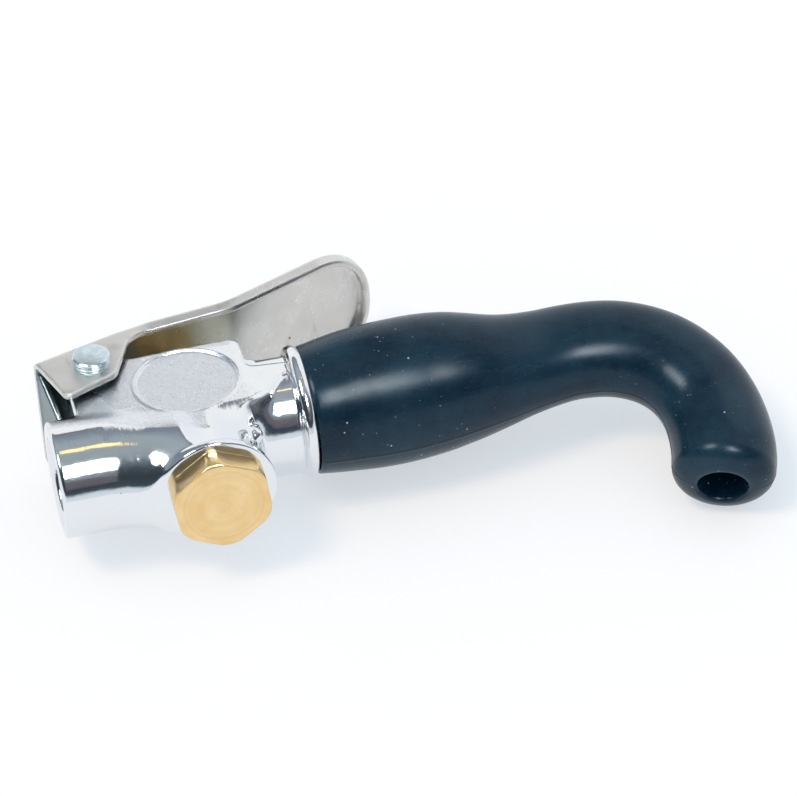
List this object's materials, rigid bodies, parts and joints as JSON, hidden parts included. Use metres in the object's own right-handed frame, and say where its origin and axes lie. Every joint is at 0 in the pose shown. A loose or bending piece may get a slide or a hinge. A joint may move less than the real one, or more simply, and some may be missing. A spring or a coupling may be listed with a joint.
{
  "type": "lever air and water valve gun",
  "caption": "Hand-held lever valve gun with a chrome body, brass hex cap and a curved black rubber spout, for filling with air or water.",
  "frame": {"origin": "centre of the threaded inlet's mouth", "axes": "+X from the inlet to the spout, +Y from the brass cap to the lever, +Z square to the flat web, up as the gun lies on its side"},
  "size_m": [0.1465, 0.0761, 0.0371],
  "materials": {
    "chrome_plate": "bright chrome over a sand-textured casting",
    "nickel_plate": "satin nickel plate on pressed steel",
    "zinc_plate": "bright zinc plate",
    "brass": "turned brass",
    "stainless": "drawn",
    "fibre": "pressed fibre",
    "seal_rubber": "moulded",
    "black_rubber": "moulded, soft sheen"
  },
  "bodies": {
    "gun": {"valve_body": "chrome_plate", "lever_rivet": "zinc_plate", "rivet_washers": "zinc_plate", "valve_cap": "brass", "cap_gasket": "fibre", "valve_seat": "brass", "stem_packing": "seal_rubber", "gland_bush": "brass", "valve_spring": "stainless", "spout_nipple": "brass", "rubber_spout": "black_rubber", "inlet_strainer": "stainless", "strainer_ring": "brass"},
    "lever": {"lever": "nickel_plate"},
    "plunger": {"valve_stem": "stainless", "disc_holder": "brass", "valve_disc": "seal_rubber"}
  },
  "joints": [
    {"name": "lever_hinge", "type": "hinge", "parent": "gun", "child": "lever", "pos_m": [0.0123, 0.01904, 0], "axis": [0, 0, -1], "range_deg": [0, 9], "stiffness_Nm_per_rad": 0.6, "springref_deg": -8.59},
    {"name": "valve_slide", "type": "slide", "parent": "gun", "child": "plunger", "axis": [0, -1, 0], "range_m": [0, 0.0032], "deforming": ["valve_spring"]}
  ],
  "couplings": [
    {"joint": "valve_slide", "follows": "lever_hinge", "m_per_rad": 0.0197}
  ]
}
